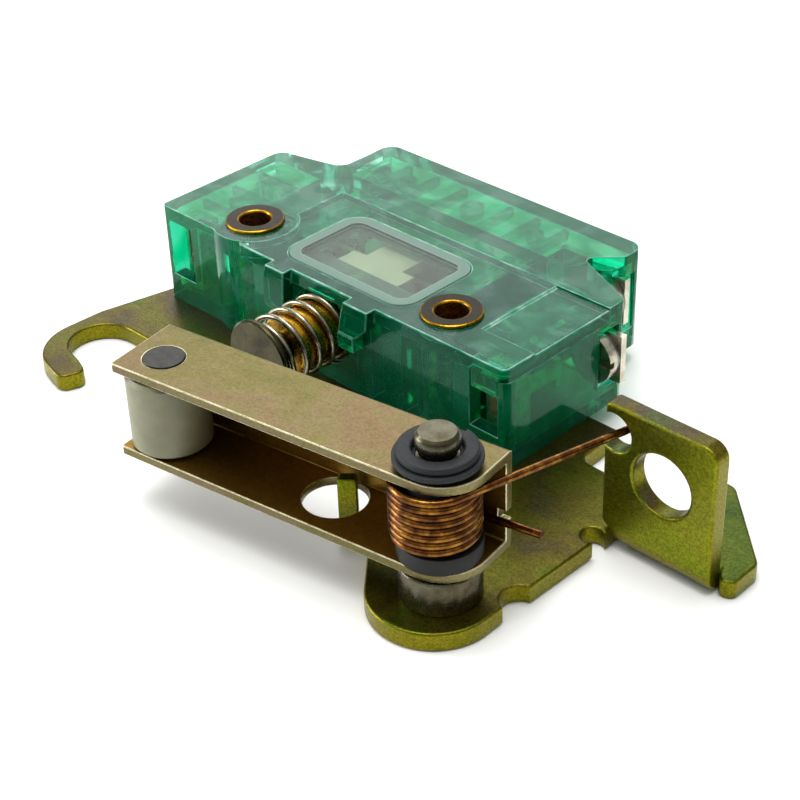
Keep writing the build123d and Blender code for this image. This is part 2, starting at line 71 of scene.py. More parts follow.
def addNode(tree, kind, settings=None, inputs=None):
    # settings are the node's own properties; an input is a value or another node's output
    # a colour Mix takes its share at input 0 and its colours at 6 and 7, and gives output 2
    node = tree.nodes.new(kind)
    for key, value in (settings or {}).items():
        setattr(node, key, value)
    for key, value in (inputs or {}).items():
        if isinstance(value, bpy.types.NodeSocket):
            tree.links.new(value, node.inputs[key])
        else:
            node.inputs[key].default_value = value
    return node


def newMaterial(name):
    material = bpy.data.materials.new(name)
    material.use_nodes = True
    tree = material.node_tree
    tree.nodes.clear()
    return material, tree


def rampStops(node, stops):
    # stops are (position, hex colour) pairs
    ramp = node.color_ramp
    while len(ramp.elements) < len(stops):
        ramp.elements.new(0.5)
    for element, (position, hexCode) in zip(ramp.elements, stops):
        element.position = position
        element.color = linearColour(hexCode)


def perMetre(sizeMm):
    # noise scale whose features are about this many millimetres across
    return 1 / (sizeMm * millimetre)


# Pressed steel with yellow passivated zinc plating: a dark olive metal sheen under a thin film
# that drifts to straw, brown and green, with fine pits. Sheared edges carry a brighter yellow
# film, upright faces can be more golden, faces that look up take a duller tone, and the inside
# of the channel is mixed towards gold brown: partly a browner film, partly painted light on the shaded
# channel.
zincSkin = {
    "edgeBelow": 0.45, "flatAbove": 0.8, "upFrom": 0.8, "upTo": 0.97,
    "scratchStretch": (0.10, 1.0, 1.0), "scratchShare": 0.4, "bumpMm": 0.05,
}


def zincPlatedSteel(name, look):
    material, tree = newMaterial(name)
    coordinates = addNode(tree, "ShaderNodeTexCoord")
    turned = addNode(tree, "ShaderNodeVectorRotate", {"rotation_type": "Z_AXIS"}, {
        "Vector": coordinates.outputs["Object"], "Angle": math.radians(-look["turn"])})
    place = turned.outputs["Vector"]
    cloud = addNode(tree, "ShaderNodeTexNoise", None, {
        "Vector": place, "Scale": perMetre(look["cloudMm"]), "Detail": look["cloudDetail"],
        "Roughness": 0.55, "Distortion": 0.9})
    film = addNode(tree, "ShaderNodeValToRGB", None, {"Fac": cloud.outputs["Fac"]})
    rampStops(film, look["film"])
    colour = film.outputs["Color"]
    # flat sheet faces look along Z on the plate, and along Y on the upright tab
    facing = addNode(tree, "ShaderNodeSeparateXYZ", None, {0: coordinates.outputs["Normal"]})
    spot = addNode(tree, "ShaderNodeSeparateXYZ", None, {0: place})
    flatZ = addNode(tree, "ShaderNodeMath", {"operation": "ABSOLUTE"}, {0: facing.outputs["Z"]})
    flatY = addNode(tree, "ShaderNodeMath", {"operation": "ABSOLUTE"}, {0: facing.outputs["Y"]})
    raised = addNode(tree, "ShaderNodeMath", {"operation": "GREATER_THAN"}, {
        0: spot.outputs["Z"], 1: look["uprightAbove"] * millimetre})
    flatUpright = addNode(tree, "ShaderNodeMath", {"operation": "MULTIPLY"}, {
        0: flatY.outputs[0], 1: raised.outputs[0]})
    flat = addNode(tree, "ShaderNodeMath", {"operation": "MAXIMUM"}, {
        0: flatZ.outputs[0], 1: flatUpright.outputs[0]})
    edge = addNode(tree, "ShaderNodeMapRange", None, {
        "Value": flat.outputs[0], "From Min": zincSkin["edgeBelow"],
        "From Max": zincSkin["flatAbove"], "To Min": look["edgeAmount"], "To Max": 0.0})
    if "upright" in look:
        uprightShare = addNode(tree, "ShaderNodeMath", {"operation": "MULTIPLY"}, {
            0: flatUpright.outputs[0], 1: look["upright"]["amount"]})
        filmed = addNode(tree, "ShaderNodeMix", {"data_type": "RGBA"}, {
            0: uprightShare.outputs[0], 6: colour, 7: linearColour(look["upright"]["tone"])})
        colour = filmed.outputs[2]
    edged = addNode(tree, "ShaderNodeMix", {"data_type": "RGBA"}, {
        0: edge.outputs["Result"], 6: colour, 7: linearColour(look["edge"])})
    colour = edged.outputs[2]
    if "inside" in look:
        # between the flanges and in front of the web: the gold brown is partly a browner film and partly
        # painted light brightening the shaded channel
        inside = look["inside"]
        aboveLow = addNode(tree, "ShaderNodeMath", {"operation": "GREATER_THAN"}, {
            0: spot.outputs["Z"], 1: inside["low"] * millimetre})
        belowHigh = addNode(tree, "ShaderNodeMath", {"operation": "LESS_THAN"}, {
            0: spot.outputs["Z"], 1: inside["high"] * millimetre})
        beforeWeb = addNode(tree, "ShaderNodeMath", {"operation": "LESS_THAN"}, {
            0: spot.outputs["Y"], 1: inside["back"] * millimetre})
        between = addNode(tree, "ShaderNodeMath", {"operation": "MULTIPLY"}, {
            0: aboveLow.outputs[0], 1: belowHigh.outputs[0]})
        within = addNode(tree, "ShaderNodeMath", {"operation": "MULTIPLY"}, {
            0: between.outputs[0], 1: beforeWeb.outputs[0]})
        channelFilmAndLightShare = addNode(tree, "ShaderNodeMath", {"operation": "MULTIPLY"}, {
            0: within.outputs[0], 1: inside["amount"]})
        inner = addNode(tree, "ShaderNodeMix", {"data_type": "RGBA"}, {
            0: channelFilmAndLightShare.outputs[0], 6: colour, 7: linearColour(inside["tone"])})
        colour = inner.outputs[2]
    grain = addNode(tree, "ShaderNodeTexNoise", None, {
        "Vector": place, "Scale": perMetre(look["grainMm"]), "Detail": 5.0, "Roughness": 0.75})
    grainTone = addNode(tree, "ShaderNodeValToRGB", None, {"Fac": grain.outputs["Fac"]})
    rampStops(grainTone, look["grain"])
    toned = addNode(tree, "ShaderNodeMix", {"data_type": "RGBA", "blend_type": "MULTIPLY"}, {
        0: look["grainAmount"], 6: colour, 7: grainTone.outputs["Color"]})
    upward = addNode(tree, "ShaderNodeMapRange", None, {
        "Value": facing.outputs["Z"], "From Min": zincSkin["upFrom"], "From Max": zincSkin["upTo"]})
    upwardToned = addNode(tree, "ShaderNodeMix", {"data_type": "RGBA", "blend_type": "MULTIPLY"}, {
        0: upward.outputs["Result"], 6: toned.outputs[2], 7: linearColour(look["flatTone"])})
    stretch = addNode(tree, "ShaderNodeMapping", None, {
        "Vector": place, "Scale": zincSkin["scratchStretch"]})
    scratch = addNode(tree, "ShaderNodeTexNoise", None, {
        "Vector": stretch.outputs["Vector"], "Scale": perMetre(look["scratchMm"]), "Detail": 3.0,
        "Roughness": 0.8})
    roughness = addNode(tree, "ShaderNodeMapRange", None, {
        "Value": scratch.outputs["Fac"], "From Min": 0.3, "From Max": 0.7,
        "To Min": look["roughness"][0], "To Max": look["roughness"][1]})
    height = addNode(tree, "ShaderNodeMix", {"data_type": "FLOAT"}, {
        0: zincSkin["scratchShare"], 2: grain.outputs["Fac"], 3: scratch.outputs["Fac"]})
    bump = addNode(tree, "ShaderNodeBump", None, {
        "Height": height.outputs[0], "Strength": look["bump"],
        "Distance": zincSkin["bumpMm"] * millimetre})
    shader = addNode(tree, "ShaderNodeBsdfPrincipled", None, {
        "Base Color": upwardToned.outputs[2], "Metallic": look["metallic"],
        "Roughness": roughness.outputs["Result"], "Normal": bump.outputs["Normal"]})
    addNode(tree, "ShaderNodeOutputMaterial", None, {"Surface": shader.outputs["BSDF"]})
    return material


# Drawn, turned or rolled metal worn by handling: one tone with darker and lighter patches.
# A flat that looks up can have a tone of its own: a painted dark reflection.
metalSkin = {"topFrom": 0.9, "topTo": 0.99, "bumpMm": 0.03}


def workedMetal(name, look):
    material, tree = newMaterial(name)
    coordinates = addNode(tree, "ShaderNodeTexCoord")
    place = coordinates.outputs["Object"]
    patches = addNode(tree, "ShaderNodeTexNoise", None, {
        "Vector": place, "Scale": perMetre(look["patchMm"]), "Detail": 5.0, "Roughness": 0.65})
    tone = addNode(tree, "ShaderNodeValToRGB", None, {"Fac": patches.outputs["Fac"]})
    rampStops(tone, look["tones"])
    colour = tone.outputs["Color"]
    # a flat that looks up takes the top tone, a painted dark reflection
    if "topPaintedReflection" in look:
        facing = addNode(tree, "ShaderNodeSeparateXYZ", None, {0: coordinates.outputs["Normal"]})
        upward = addNode(tree, "ShaderNodeMapRange", None, {
            "Value": facing.outputs["Z"], "From Min": metalSkin["topFrom"],
            "From Max": metalSkin["topTo"]})
        topReflecting = addNode(tree, "ShaderNodeMix", {"data_type": "RGBA"}, {
            0: upward.outputs["Result"], 6: colour, 7: linearColour(look["topPaintedReflection"])})
        colour = topReflecting.outputs[2]
    fine = addNode(tree, "ShaderNodeTexNoise", None, {
        "Vector": place, "Scale": perMetre(look["fineMm"]), "Detail": 3.0})
    roughness = addNode(tree, "ShaderNodeMapRange", None, {
        "Value": fine.outputs["Fac"], "From Min": 0.3, "From Max": 0.7,
        "To Min": look["roughness"][0], "To Max": look["roughness"][1]})
    bump = addNode(tree, "ShaderNodeBump", None, {
        "Height": fine.outputs["Fac"], "Strength": look["bump"],
        "Distance": metalSkin["bumpMm"] * millimetre})
    shader = addNode(tree, "ShaderNodeBsdfPrincipled", None, {
        "Base Color": colour, "Metallic": look["metallic"], "Roughness": roughness.outputs["Result"],
        "Normal": bump.outputs["Normal"]})
    addNode(tree, "ShaderNodeOutputMaterial", None, {"Surface": shader.outputs["BSDF"]})
    return material


# Injection moulded clear nylon with a green tint: glossy, deep green where the eye meets an
# upright wall, and paler on faces that look up: painted light on the tops.
nylonSkin = {"upFrom": 0.5, "upTo": 0.95, "bumpMm": 0.08}


def tintedNylon(name, look):
    material, tree = newMaterial(name)
    coordinates = addNode(tree, "ShaderNodeTexCoord")
    place = coordinates.outputs["Object"]
    facing = addNode(tree, "ShaderNodeSeparateXYZ", None, {0: coordinates.outputs["Normal"]})
    upward = addNode(tree, "ShaderNodeMapRange", {"interpolation_type": "SMOOTHSTEP"}, {
        "Value": facing.outputs["Z"], "From Min": nylonSkin["upFrom"], "From Max": nylonSkin["upTo"]})
    flow = addNode(tree, "ShaderNodeTexNoise", None, {
        "Vector": place, "Scale": perMetre(look["flowMm"]), "Detail": 3.0, "Roughness": 0.55,
        "Distortion": 0.8})
    deep = addNode(tree, "ShaderNodeValToRGB", None, {"Fac": flow.outputs["Fac"]})
    rampStops(deep, look["deep"])
    # faces that look up get the paler tint: painted light
    paintedTopLight = addNode(tree, "ShaderNodeValToRGB", None, {"Fac": flow.outputs["Fac"]})
    rampStops(paintedTopLight, look["paintedTopLight"])
    tint = addNode(tree, "ShaderNodeMix", {"data_type": "RGBA"}, {
        0: upward.outputs["Result"], 6: deep.outputs["Color"], 7: paintedTopLight.outputs["Color"]})
    carried = addNode(tree, "ShaderNodeMapRange", None, {
        "Value": upward.outputs["Result"], "To Min": look["carried"][0], "To Max": look["carried"][1]})
    bump = addNode(tree, "ShaderNodeBump", None, {
        "Height": flow.outputs["Fac"], "Strength": look["bump"],
        "Distance": nylonSkin["bumpMm"] * millimetre})
    shader = addNode(tree, "ShaderNodeBsdfPrincipled", None, {
        "Base Color": tint.outputs[2], "Roughness": look["roughness"], "IOR": look["ior"],
        "Specular Tint": linearColour(look["sheenTint"]),
        "Transmission Weight": carried.outputs["Result"], "Normal": bump.outputs["Normal"]})
    addNode(tree, "ShaderNodeOutputMaterial", None, {"Surface": shader.outputs["BSDF"]})
    return material


# Opaque injection moulded plastic: even colour with a little dirt and a satin skin.
plasticSkin = {"ior": 1.49, "glowDepthMm": 0.5, "bumpMm": 0.05}


def mouldedPlastic(name, look):
    material, tree = newMaterial(name)
    place = addNode(tree, "ShaderNodeTexCoord").outputs["Object"]
    dirt = addNode(tree, "ShaderNodeTexNoise", None, {
        "Vector": place, "Scale": perMetre(look["dirtMm"]), "Detail": 4.0, "Roughness": 0.6})
    tone = addNode(tree, "ShaderNodeValToRGB", None, {"Fac": dirt.outputs["Fac"]})
    rampStops(tone, look["tones"])
    bump = addNode(tree, "ShaderNodeBump", None, {
        "Height": dirt.outputs["Fac"], "Strength": look["bump"],
        "Distance": plasticSkin["bumpMm"] * millimetre})
    shader = addNode(tree, "ShaderNodeBsdfPrincipled", None, {
        "Base Color": tone.outputs["Color"], "Roughness": look["roughness"],
        "IOR": plasticSkin["ior"], "Subsurface Weight": look["glow"],
        "Subsurface Scale": plasticSkin["glowDepthMm"] * millimetre,
        "Normal": bump.outputs["Normal"]})
    addNode(tree, "ShaderNodeOutputMaterial", None, {"Surface": shader.outputs["BSDF"]})
    return material


# Clear moulded polycarbonate pane with an etched rim: the middle lets the eye through, and the
# rim is a pale grey-green frost.
def framedPane(name, look):
    material, tree = newMaterial(name)
    place = addNode(tree, "ShaderNodeTexCoord").outputs["Object"]
    offset = addNode(tree, "ShaderNodeVectorMath", {"operation": "SUBTRACT"}, {0: place, 1: look["centre"]})
    across = addNode(tree, "ShaderNodeVectorMath", {"operation": "ABSOLUTE"}, {0: offset.outputs[0]})
    beyond = addNode(tree, "ShaderNodeVectorMath", {"operation": "SUBTRACT"}, {
        0: across.outputs[0], 1: look["clearHalf"]})
    outside = addNode(tree, "ShaderNodeVectorMath", {"operation": "MAXIMUM"}, {
        0: beyond.outputs[0], 1: (0, 0, -1)})
    parts = addNode(tree, "ShaderNodeSeparateXYZ", None, {0: outside.outputs[0]})
    flat = addNode(tree, "ShaderNodeCombineXYZ", None, {0: parts.outputs[0], 1: parts.outputs[1]})
    distance = addNode(tree, "ShaderNodeVectorMath", {"operation": "LENGTH"}, {0: flat.outputs[0]})
    frost = addNode(tree, "ShaderNodeMapRange", None, {
        "Value": distance.outputs["Value"], "From Min": look["clearRound"] - look["fade"],
        "From Max": look["clearRound"] + look["fade"], "To Min": 0.0, "To Max": 1.0})
    colour = addNode(tree, "ShaderNodeMix", {"data_type": "RGBA"}, {
        0: frost.outputs["Result"], 6: linearColour(look["clear"]), 7: linearColour(look["frosted"])})
    carried = addNode(tree, "ShaderNodeMapRange", None, {
        "Value": frost.outputs["Result"], "To Min": look["carried"][0], "To Max": look["carried"][1]})
    roughness = addNode(tree, "ShaderNodeMapRange", None, {
        "Value": frost.outputs["Result"], "To Min": look["roughness"][0], "To Max": look["roughness"][1]})
    shader = addNode(tree, "ShaderNodeBsdfPrincipled", None, {
        "Base Color": colour.outputs[2], "Roughness": roughness.outputs["Result"],
        "IOR": look["ior"], "Transmission Weight": carried.outputs["Result"]})
    addNode(tree, "ShaderNodeOutputMaterial", None, {"Surface": shader.outputs["BSDF"]})
    return material


# zinc plated pressed steel of the plate: wide soft zones of olive, yellow, brown and green
plateLook = {
    "turn": 0, "cloudMm": 19.0, "cloudDetail": 2.0, "grainMm": 0.3, "grainAmount": 0.75, "scratchMm": 0.3,
    "roughness": (0.26, 0.44), "bump": 0.5, "metallic": 0.9, "uprightAbove": 2.7,
    "edgeAmount": 0.85, "edge": "8f8a12", "flatTone": "bcc6ae", "upright": {"tone": "929c10", "amount": 0.72},
    "film": [
        (0.30, "46611a"), (0.40, "6b7a1a"), (0.48, "857a22"), (0.56, "7c6a2a"), (0.63, "6c5a48"),
        (0.70, "5f7038")],
    "grain": [(0.30, "5a5648"), (0.46, "b8b4a4"), (0.62, "ffffff")],
}
# zinc plated folded steel of the lever: a paler straw film, and gold brown inside the channel, partly painted
# light
leverLook = {
    "turn": 9.1, "cloudMm": 11.0, "cloudDetail": 3.0, "grainMm": 0.3, "grainAmount": 0.6, "scratchMm": 0.3,
    "roughness": (0.30, 0.48), "bump": 0.35, "metallic": 0.9, "uprightAbove": -5,
    "edgeAmount": 0.5, "edge": "9c9562", "flatTone": "fff8ea",
    "inside": {"low": 8.2, "high": 18.82, "back": 5.25, "tone": "94701c", "amount": 0.8},
    "film": [(0.30, "6b6a38"), (0.43, "766f45"), (0.52, "7a7050"), (0.62, "7c6a50"), (0.72, "6c6a38")],
    "grain": [(0.30, "7a745e"), (0.48, "d2cebe"), (0.66, "ffffff")],
}
zincPlate = zincPlatedSteel("yellowZincPlate", plateLook)
zincLever = zincPlatedSteel("yellowZincLever", leverLook)
# sheared steel rubbed bare, and brightened as a painted highlight too: a thin pale line along the lever's
# edges
leverEdgeWearAndHighlight = workedMetal("leverCutEdge", {
    "patchMm": 1.5, "fineMm": 0.3, "tones": [(0.3, "a29c6e"), (0.5, "cfc9a4"), (0.7, "e6e1c4")],
    "roughness": (0.22, 0.4), "bump": 0.2, "metallic": 0.9})
# turned steel: grey shine with brown rust in places
shaftSteel = workedMetal("turnedShaftSteel", {
    "patchMm": 3.5, "fineMm": 0.25, "tones": [(0.30, "3c2f18"), (0.44, "504c3a"), (0.68, "666454")],
    "roughness": (0.24, 0.36), "bump": 0.12, "metallic": 0.95})
# stamped steel: light even grey
washerSteel = workedMetal("plainWasherSteel", {
    "patchMm": 1.5, "fineMm": 0.2, "tones": [(0.35, "6a6b66"), (0.6, "8c8c86")],
    "roughness": (0.26, 0.4), "bump": 0.2, "metallic": 0.95})
# riveted steel, blackened: a dark round on the lever's top
pinSteel = workedMetal("blackenedPinEnd", {
    "patchMm": 1.2, "fineMm": 0.2, "tones": [(0.35, "22211f"), (0.6, "34332f")],
    "roughness": (0.3, 0.42), "bump": 0.35, "metallic": 0.8})
# stamped spring steel, phosphated: nearly black and dull; the washer under the ring wears it as painted shade
phosphateBlackAndWasherShade = workedMetal("phosphatedSteelAndWasherShade", {
    "patchMm": 1.4, "fineMm": 0.2, "tones": [(0.35, "05080b"), (0.6, "0c1216")],
    "roughness": (0.6, 0.75), "bump": 0.15, "metallic": 0.0})
# drawn wire with a copper wash: warm brown with orange glints
copperedWire = workedMetal("copperedSpringWire", {
    "patchMm": 1.6, "fineMm": 0.25, "tones": [(0.32, "3c2210"), (0.5, "6e4420"), (0.68, "a4762e")],
    "roughness": (0.16, 0.28), "bump": 0.15, "metallic": 1.0})
# drawn steel wire: bright grey lines
drawnWire = workedMetal("drawnSteelWire", {
    "patchMm": 1.2, "fineMm": 0.25, "tones": [(0.35, "77725f"), (0.6, "a19b86")],
    "roughness": (0.16, 0.28), "bump": 0.1, "metallic": 1.0})
# turned brass, nickel plated and tarnished: a dark mirror with an olive cast
nickelHead = workedMetal("nickelPlatedHead", {
    "patchMm": 4.0, "fineMm": 0.3, "tones": [(0.35, "2c291a"), (0.6, "48442e")],
    "roughness": (0.2, 0.32), "bump": 0.1, "metallic": 1.0})
# rolled brass tube: gold on its rounded rims and bore, dark on the flat between them, a painted dark
# reflection
rolledBrass = workedMetal("rolledBrassEyelet", {
    "patchMm": 1.8, "fineMm": 0.3, "tones": [(0.32, "6a4e0c"), (0.5, "a87c16"), (0.68, "d8a62a")],
    "topPaintedReflection": "1c170a", "roughness": (0.24, 0.4), "bump": 0.2, "metallic": 1.0})
# turned brass: gold behind the plunger's spring
turnedBrass = workedMetal("turnedBrass", {
    "patchMm": 2.0, "fineMm": 0.3, "tones": [(0.35, "8f6a12"), (0.6, "cc9c2c")],
    "roughness": (0.18, 0.32), "bump": 0.1, "metallic": 1.0})
# stamped brass, nickel plated: pale warm grey terminals
nickelBrass = workedMetal("nickelPlatedBrass", {
    "patchMm": 2.5, "fineMm": 0.3, "tones": [(0.35, "a8a18c"), (0.6, "dcd6c4")],
    "roughness": (0.25, 0.4), "bump": 0.1, "metallic": 1.0})
# stamped copper: pink strip deep in the case
contactCopper = workedMetal("contactCopper", {
    "patchMm": 2.5, "fineMm": 0.3, "tones": [(0.35, "a86a48"), (0.6, "cf9670")],
    "roughness": (0.25, 0.4), "bump": 0.1, "metallic": 1.0})
# riveted silver: small white buttons
contactSilver = workedMetal("contactSilver", {
    "patchMm": 1.0, "fineMm": 0.3, "tones": [(0.35, "b8b8b6"), (0.6, "dcdcda")],
    "roughness": (0.2, 0.3), "bump": 0.1, "metallic": 1.0})
# moulded black nylon: a dull dark band under the coil, its near black partly painted shade
blackBushAndShade = mouldedPlastic("blackNylonBushAndPaintedShade", {
    "dirtMm": 2.0, "tones": [(0.35, "050504"), (0.65, "0c0b08")],
    "roughness": 0.65, "bump": 0.1, "glow": 0.0})
# moulded acetal: ivory with a soft skin, its tones darkened to khaki grey as painted shade
acetalRoller = mouldedPlastic("ivoryAcetal", {
    "dirtMm": 5.0, "tones": [(0.3, "706f54"), (0.55, "7d7c60"), (0.75, "8b8970")],
    "roughness": 0.42, "bump": 0.05, "glow": 0.1})
# moulded urea: a cream block under the window
creamUrea = mouldedPlastic("creamUreaMoulding", {
    "dirtMm": 4.0, "tones": [(0.3, "acaa90"), (0.6, "c8c6a8")], "roughness": 0.5, "bump": 0.1, "glow": 0.1})
# moulded green nylon of the case and lid: clear enough to show the chambers and ribs inside
greenLook = {
    "flowMm": 6.0, "roughness": 0.05, "ior": 1.36, "carried": (0.86, 0.90), "bump": 0.03,
    "sheenTint": "3f8f78",
    "deep": [(0.30, "00a868"), (0.5, "06bc80"), (0.7, "40d0a4")],
    # the paler tint for faces that look up is painted light
    "paintedTopLight": [(0.34, "0c9c74"), (0.5, "3cb694"), (0.64, "98e0c8")],
}
# the same nylon on the case's broken edges, paler: painted highlights as mint lines around the case
edgeHighlightLook = {
    "flowMm": 2.5, "roughness": 0.22, "ior": 1.40, "carried": (0.55, 0.45), "bump": 0.05,
    "sheenTint": "c8ecdc",
    "deep": [(0.30, "1c8c68"), (0.5, "40b48c"), (0.7, "88dcbc")],
    "paintedTopLight": [(0.34, "60b898"), (0.5, "98d8c0"), (0.64, "d4f4e8")],
}
greenCase = tintedNylon("greenTintedNylonCase", greenLook)
paintedEdgeHighlight = tintedNylon("greenNylonPaintedEdgeHighlight", edgeHighlightLook)
windowLow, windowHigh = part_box("cover_window")
windowCentre = (Vector(windowLow) + Vector(windowHigh)) / 2
frostWidth = 1.5 * millimetre
windowRound = 1.6 * millimetre
windowPane = framedPane("frostRimmedPane", {
    "centre": windowCentre,
    "clearHalf": (
        (windowHigh[0] - windowLow[0]) / 2 - frostWidth - windowRound,
        (windowHigh[1] - windowLow[1]) / 2 - frostWidth - windowRound,
        1.0,
    ),
    "clearRound": windowRound, "fade": 0.1 * millimetre, "clear": "d4e2d8", "frosted": "789286",
    "carried": (0.96, 0.25), "roughness": (0.03, 0.5), "ior": 1.2})
print("materials made:", len(bpy.data.materials))


edgeFinish = {"mergeMm": 0.001, "flatWithin": 0.5, "sharpFrom": 60, "segments": 2}  # angles in degrees


def dressNode(name, material, edgeMm=0.0, edgeMaterial=None):
    # the CAD piece keeps its mesh and gets a finish, and a broken edge where edgeMm is given
    piece = cadNodes[name]
    piece.data.materials.clear()
    piece.data.materials.append(material)
    if edgeMm:
        # the mesh comes with its faces apart, so they are joined before their edges are broken
        joined = piece.modifiers.new("joinedFaces", "WELD")
        joined.merge_threshold = edgeFinish["mergeMm"] * millimetre
        flattened = piece.modifiers.new("wholeFaces", "DECIMATE")
        flattened.decimate_type = "DISSOLVE"
        flattened.angle_limit = math.radians(edgeFinish["flatWithin"])
        rounding = piece.modifiers.new("brokenEdge", "BEVEL")
        rounding.width = edgeMm * millimetre
        rounding.segments = edgeFinish["segments"]
        rounding.limit_method = "ANGLE"
        rounding.angle_limit = math.radians(edgeFinish["sharpFrom"])
        rounding.harden_normals = True
        rounding.use_clamp_overlap = False
        if edgeMaterial:
            piece.data.materials.append(edgeMaterial)
            rounding.material = 1


dressNode("lever", zincLever, 0.14, leverEdgeWearAndHighlight)
dressNode("pivot_post", shaftSteel, 0.15)
# the washer under the ring takes the ring's black: painted shade
dressNode("pivot_washer", phosphateBlackAndWasherShade)
# the bush's near black is partly painted shade under the coil
dressNode("spring_bush", blackBushAndShade, 0.08)
dressNode("roller_pin", pinSteel, 0.04)
dressNode("roller", acetalRoller)
# the case's broken edges take the painted edge highlight
dressNode("housing_base", greenCase, 0.095, paintedEdgeHighlight)
dressNode("housing_cover", greenCase, 0.2, paintedEdgeHighlight)
dressNode("cover_window", windowPane)
dressNode("eyelet_left", rolledBrass)
dressNode("eyelet_right", rolledBrass)
dressNode("plunger", nickelHead, 0.1)
dressNode("plunger_bush", turnedBrass)
dressNode("contact_carrier", creamUrea, 0.1)
dressNode("contact_bridge", contactCopper, 0.05)
dressNode("moving_contacts", contactSilver)
dressNode("fixed_contacts", contactSilver)
for corner in ("front_terminal_right", "front_terminal_left", "rear_terminal_right", "rear_terminal_left"):
    dressNode(corner, nickelBrass)
dressNode("terminal_screws", nickelBrass, 0.08)
dressNode("clamp_washers", washerSteel, 0.05)
print("CAD nodes dressed")

fullCircle = (0, 352.5, 47)  # first and last angle, steps


def arcPoints(centre, radius, start, end, steps):
    # points of an arc between two angles in degrees, as corners with no rounding
    corners = []
    for step in range(steps + 1):
        angle = math.radians(start + (end - start) * step / steps)
        corners.append((centre[0] + radius * math.cos(angle), centre[1] + radius * math.sin(angle), 0))
    return corners


def roundCorners(corners, steps=6):
    # (x, y, radius) corners to plain points, with each radius turned into an arc
    points = []
    for index, (x, y, radius) in enumerate(corners):
        here = Vector((x, y))
        if not radius:
            points.append(here)
            continue
        before = (Vector(corners[index - 1][:2]) - here).normalized()
        after = (Vector(corners[(index + 1) % len(corners)][:2]) - here).normalized()
        half = before.angle(after) / 2
        centre = here + (before + after).normalized() * radius / math.sin(half)
        first = here + before * radius / math.tan(half) - centre
        last = here + after * radius / math.tan(half) - centre
        turn = first.angle_signed(last)
        for step in range(steps + 1):
            swing = -turn * step / steps
            points.append(centre + Vector((
                first.x * math.cos(swing) - first.y * math.sin(swing),
                first.x * math.sin(swing) + first.y * math.cos(swing))))
    return points


def roundedSheet(name, outlines, thickness, rounding, steps=3):
    # flat sheet in millimetres from 0 to its thickness, cut to its outlines, every cut edge rounded over
    curve = bpy.data.curves.new(name + "Outline", "CURVE")
    curve.dimensions = "2D"
    curve.fill_mode = "BOTH"
    curve.extrude = thickness / 2 - rounding
    curve.bevel_depth = rounding
    curve.bevel_resolution = steps
    curve.offset = -rounding
    for outline in outlines:
        spline = curve.splines.new("POLY")
        spline.points.add(len(outline) - 1)
        for point, place in zip(spline.points, outline):
            point.co = (place[0], place[1], 0, 1)
        spline.use_cyclic_u = True
    drawn = bpy.data.objects.new(name + "Outline", curve)
    mesh = bpy.data.meshes.new_from_object(drawn)
    bpy.data.objects.remove(drawn)
    bpy.data.curves.remove(curve)
    sheet = bmesh.new()
    sheet.from_mesh(mesh)
    bpy.data.meshes.remove(mesh)
    bmesh.ops.remove_doubles(sheet, verts=sheet.verts, dist=0.001)
    bmesh.ops.translate(sheet, verts=sheet.verts, vec=(0, 0, thickness / 2))
    bmesh.ops.recalc_face_normals(sheet, faces=sheet.faces)
    return sheet


def finishPiece(name, parts, body, material, replaced=()):
    # joins the closed parts into one piece in metres, with flat faces flat and rounded edges smooth
    whole = bmesh.new()
    for part in parts:
        carrier = bpy.data.meshes.new(name + "Part")
        part.to_mesh(carrier)
        part.free()
        whole.from_mesh(carrier)
        bpy.data.meshes.remove(carrier)
    bmesh.ops.scale(whole, vec=(millimetre, millimetre, millimetre), verts=whole.verts)
    for face in whole.faces:
        face.smooth = True
    mesh = bpy.data.meshes.new(name)
    whole.to_mesh(mesh)
    whole.free()
    mesh.set_sharp_from_angle(angle=math.radians(smoothBelow))
    piece = bpy.data.objects.new(name, mesh)
    bpy.context.scene.collection.objects.link(piece)
    piece.data.materials.append(material)
    weighting = piece.modifiers.new("flatFaces", "WEIGHTED_NORMAL")
    weighting.keep_sharp = True
    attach(piece, body)
    if replaced:
        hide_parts(*replaced)
    return piece


# Pressed plate: flat outline with the open hook, the notch behind the tab and two bend reliefs,
# the tab bent up from its front edge, and the stop finger in the lever's hole
plateShape = {
    # an arc is its centre, radius, first and last angle and steps; a corner is x, y and its radius
    "thickness": 2.5, "rounding": 0.34,
    "lobe": ((-0.8, -0.3), 7.9, 221.5, 357, 40),
    "reliefs": [((7.6, 4.8), 2.4, 255.5, 104.5, 14), ((6.1, 19.15), 1.45, 308.4, 51.6, 14)],
    "wing": [
        (7.0, 24.4, 0), (20.6, 24.4, 0), (21.6, 22.3, 0.8), (23.4, 22.9, 1.0), (23.3, 27.6, 1.8),
        (12.8, 37.9, 1.8)],
    "notch": [(11.3, 37.9, 0.5), (11.3, 29.6, 1.6), (-4.6, 29.9, 1.6), (-4.9, 37.9, 0.6)],
    "left": [(-72.1, 37.9, 2.0), (-75.6, 22.1, 6.0), (-77.9, 12.2, 6.0)],
    "hook": ((-70.2, 6.3), 7.9, 178, 256, 16),
    "hookTip": [(-68.0, -2.35, 1.5), (-66.8, 1.25, 1.2), (-69.8, 2.3, 1.5)],
    "hookSlot": ((-71.1, 7.3), 4.65, 243, 90, 18),
    "front": [(-66.9, 11.95, 0.8), (-65.9, 13.0, 1.2), (-23.1, 13.0, 1.5)],
    "holes": [((0, 0), 3.0), ((-60.1, 27.2), 3.1), ((-23.5, 27.2), 3.1)],
}
